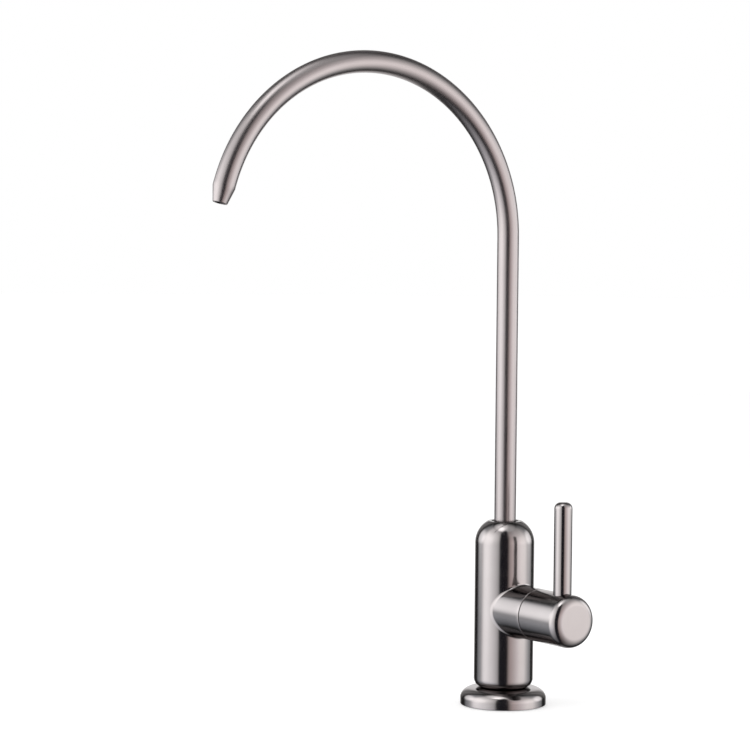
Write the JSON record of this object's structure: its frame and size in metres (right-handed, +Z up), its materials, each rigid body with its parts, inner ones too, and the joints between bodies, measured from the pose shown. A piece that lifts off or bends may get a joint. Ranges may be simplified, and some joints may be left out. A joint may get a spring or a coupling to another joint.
{
  "type": "drinking water filter tap",
  "caption": "Deck-mounted filter tap: slim gooseneck spout that swivels on a round body, side lever on a quarter-turn ceramic valve, threaded shank and push-in inlet.",
  "frame": {"origin": "on the worktop, at the centre of the base gasket's underside", "axes": "+Z up along the spout's swivel axis, -Y the way the spout reaches to the front, +X along the handle's axis to the user's right"},
  "size_m": [0.0809, 0.1938, 0.4052],
  "materials": {
    "polished_steel": "polished stainless steel with a warm tone",
    "satin_steel": "satin brushed stainless steel with a warm tone",
    "brass": "turned brass",
    "spring_steel": "zinc plated steel",
    "rubber": "matt moulded rubber",
    "acetal": "moulded acetal",
    "ptfe": "plain PTFE",
    "ceramic": "lapped alumina ceramic"
  },
  "bodies": {
    "tap": {"body": "polished_steel", "valve_branch": "polished_steel", "base_flange": "polished_steel", "base_gasket": "rubber", "threaded_shank": "brass", "shank_o_ring": "rubber", "deck_rubber_washer": "rubber", "deck_steel_washer": "spring_steel", "lock_washer": "spring_steel", "clamp_nut": "brass", "inlet_connector": "acetal", "connector_washer": "rubber", "tube_o_ring": "rubber", "seat_seal": "rubber", "fixed_disc": "ceramic", "cartridge_body": "brass", "cartridge_o_ring": "rubber", "thrust_washer": "ptfe", "spout_bush": "acetal"},
    "spout": {"spout_tube": "satin_steel", "spout_stem": "brass", "spout_o_rings": "rubber", "spout_retaining_ring": "spring_steel"},
    "handle": {"handle_hub": "polished_steel", "lever_rod": "polished_steel", "spindle": "brass", "moving_disc": "ceramic", "spindle_o_rings": "rubber", "limit_ring": "spring_steel", "spindle_clip": "spring_steel", "handle_grub_screw": "spring_steel"},
    "collet": {"release_collet": "acetal"}
  },
  "joints": [
    {"name": "spout_swivel", "type": "hinge", "parent": "tap", "child": "spout", "pos_m": [0, 0, 0.0755], "axis": [0, 0, 1], "continuous": true},
    {"name": "handle_turn", "type": "hinge", "parent": "tap", "child": "handle", "pos_m": [0.0293, 0, 0.0491], "axis": [1, 0, 0], "range_deg": [0, 90]},
    {"name": "collet_push", "type": "slide", "parent": "tap", "child": "collet", "axis": [0, 0, 1], "range_m": [0, 0.0015]}
  ]
}
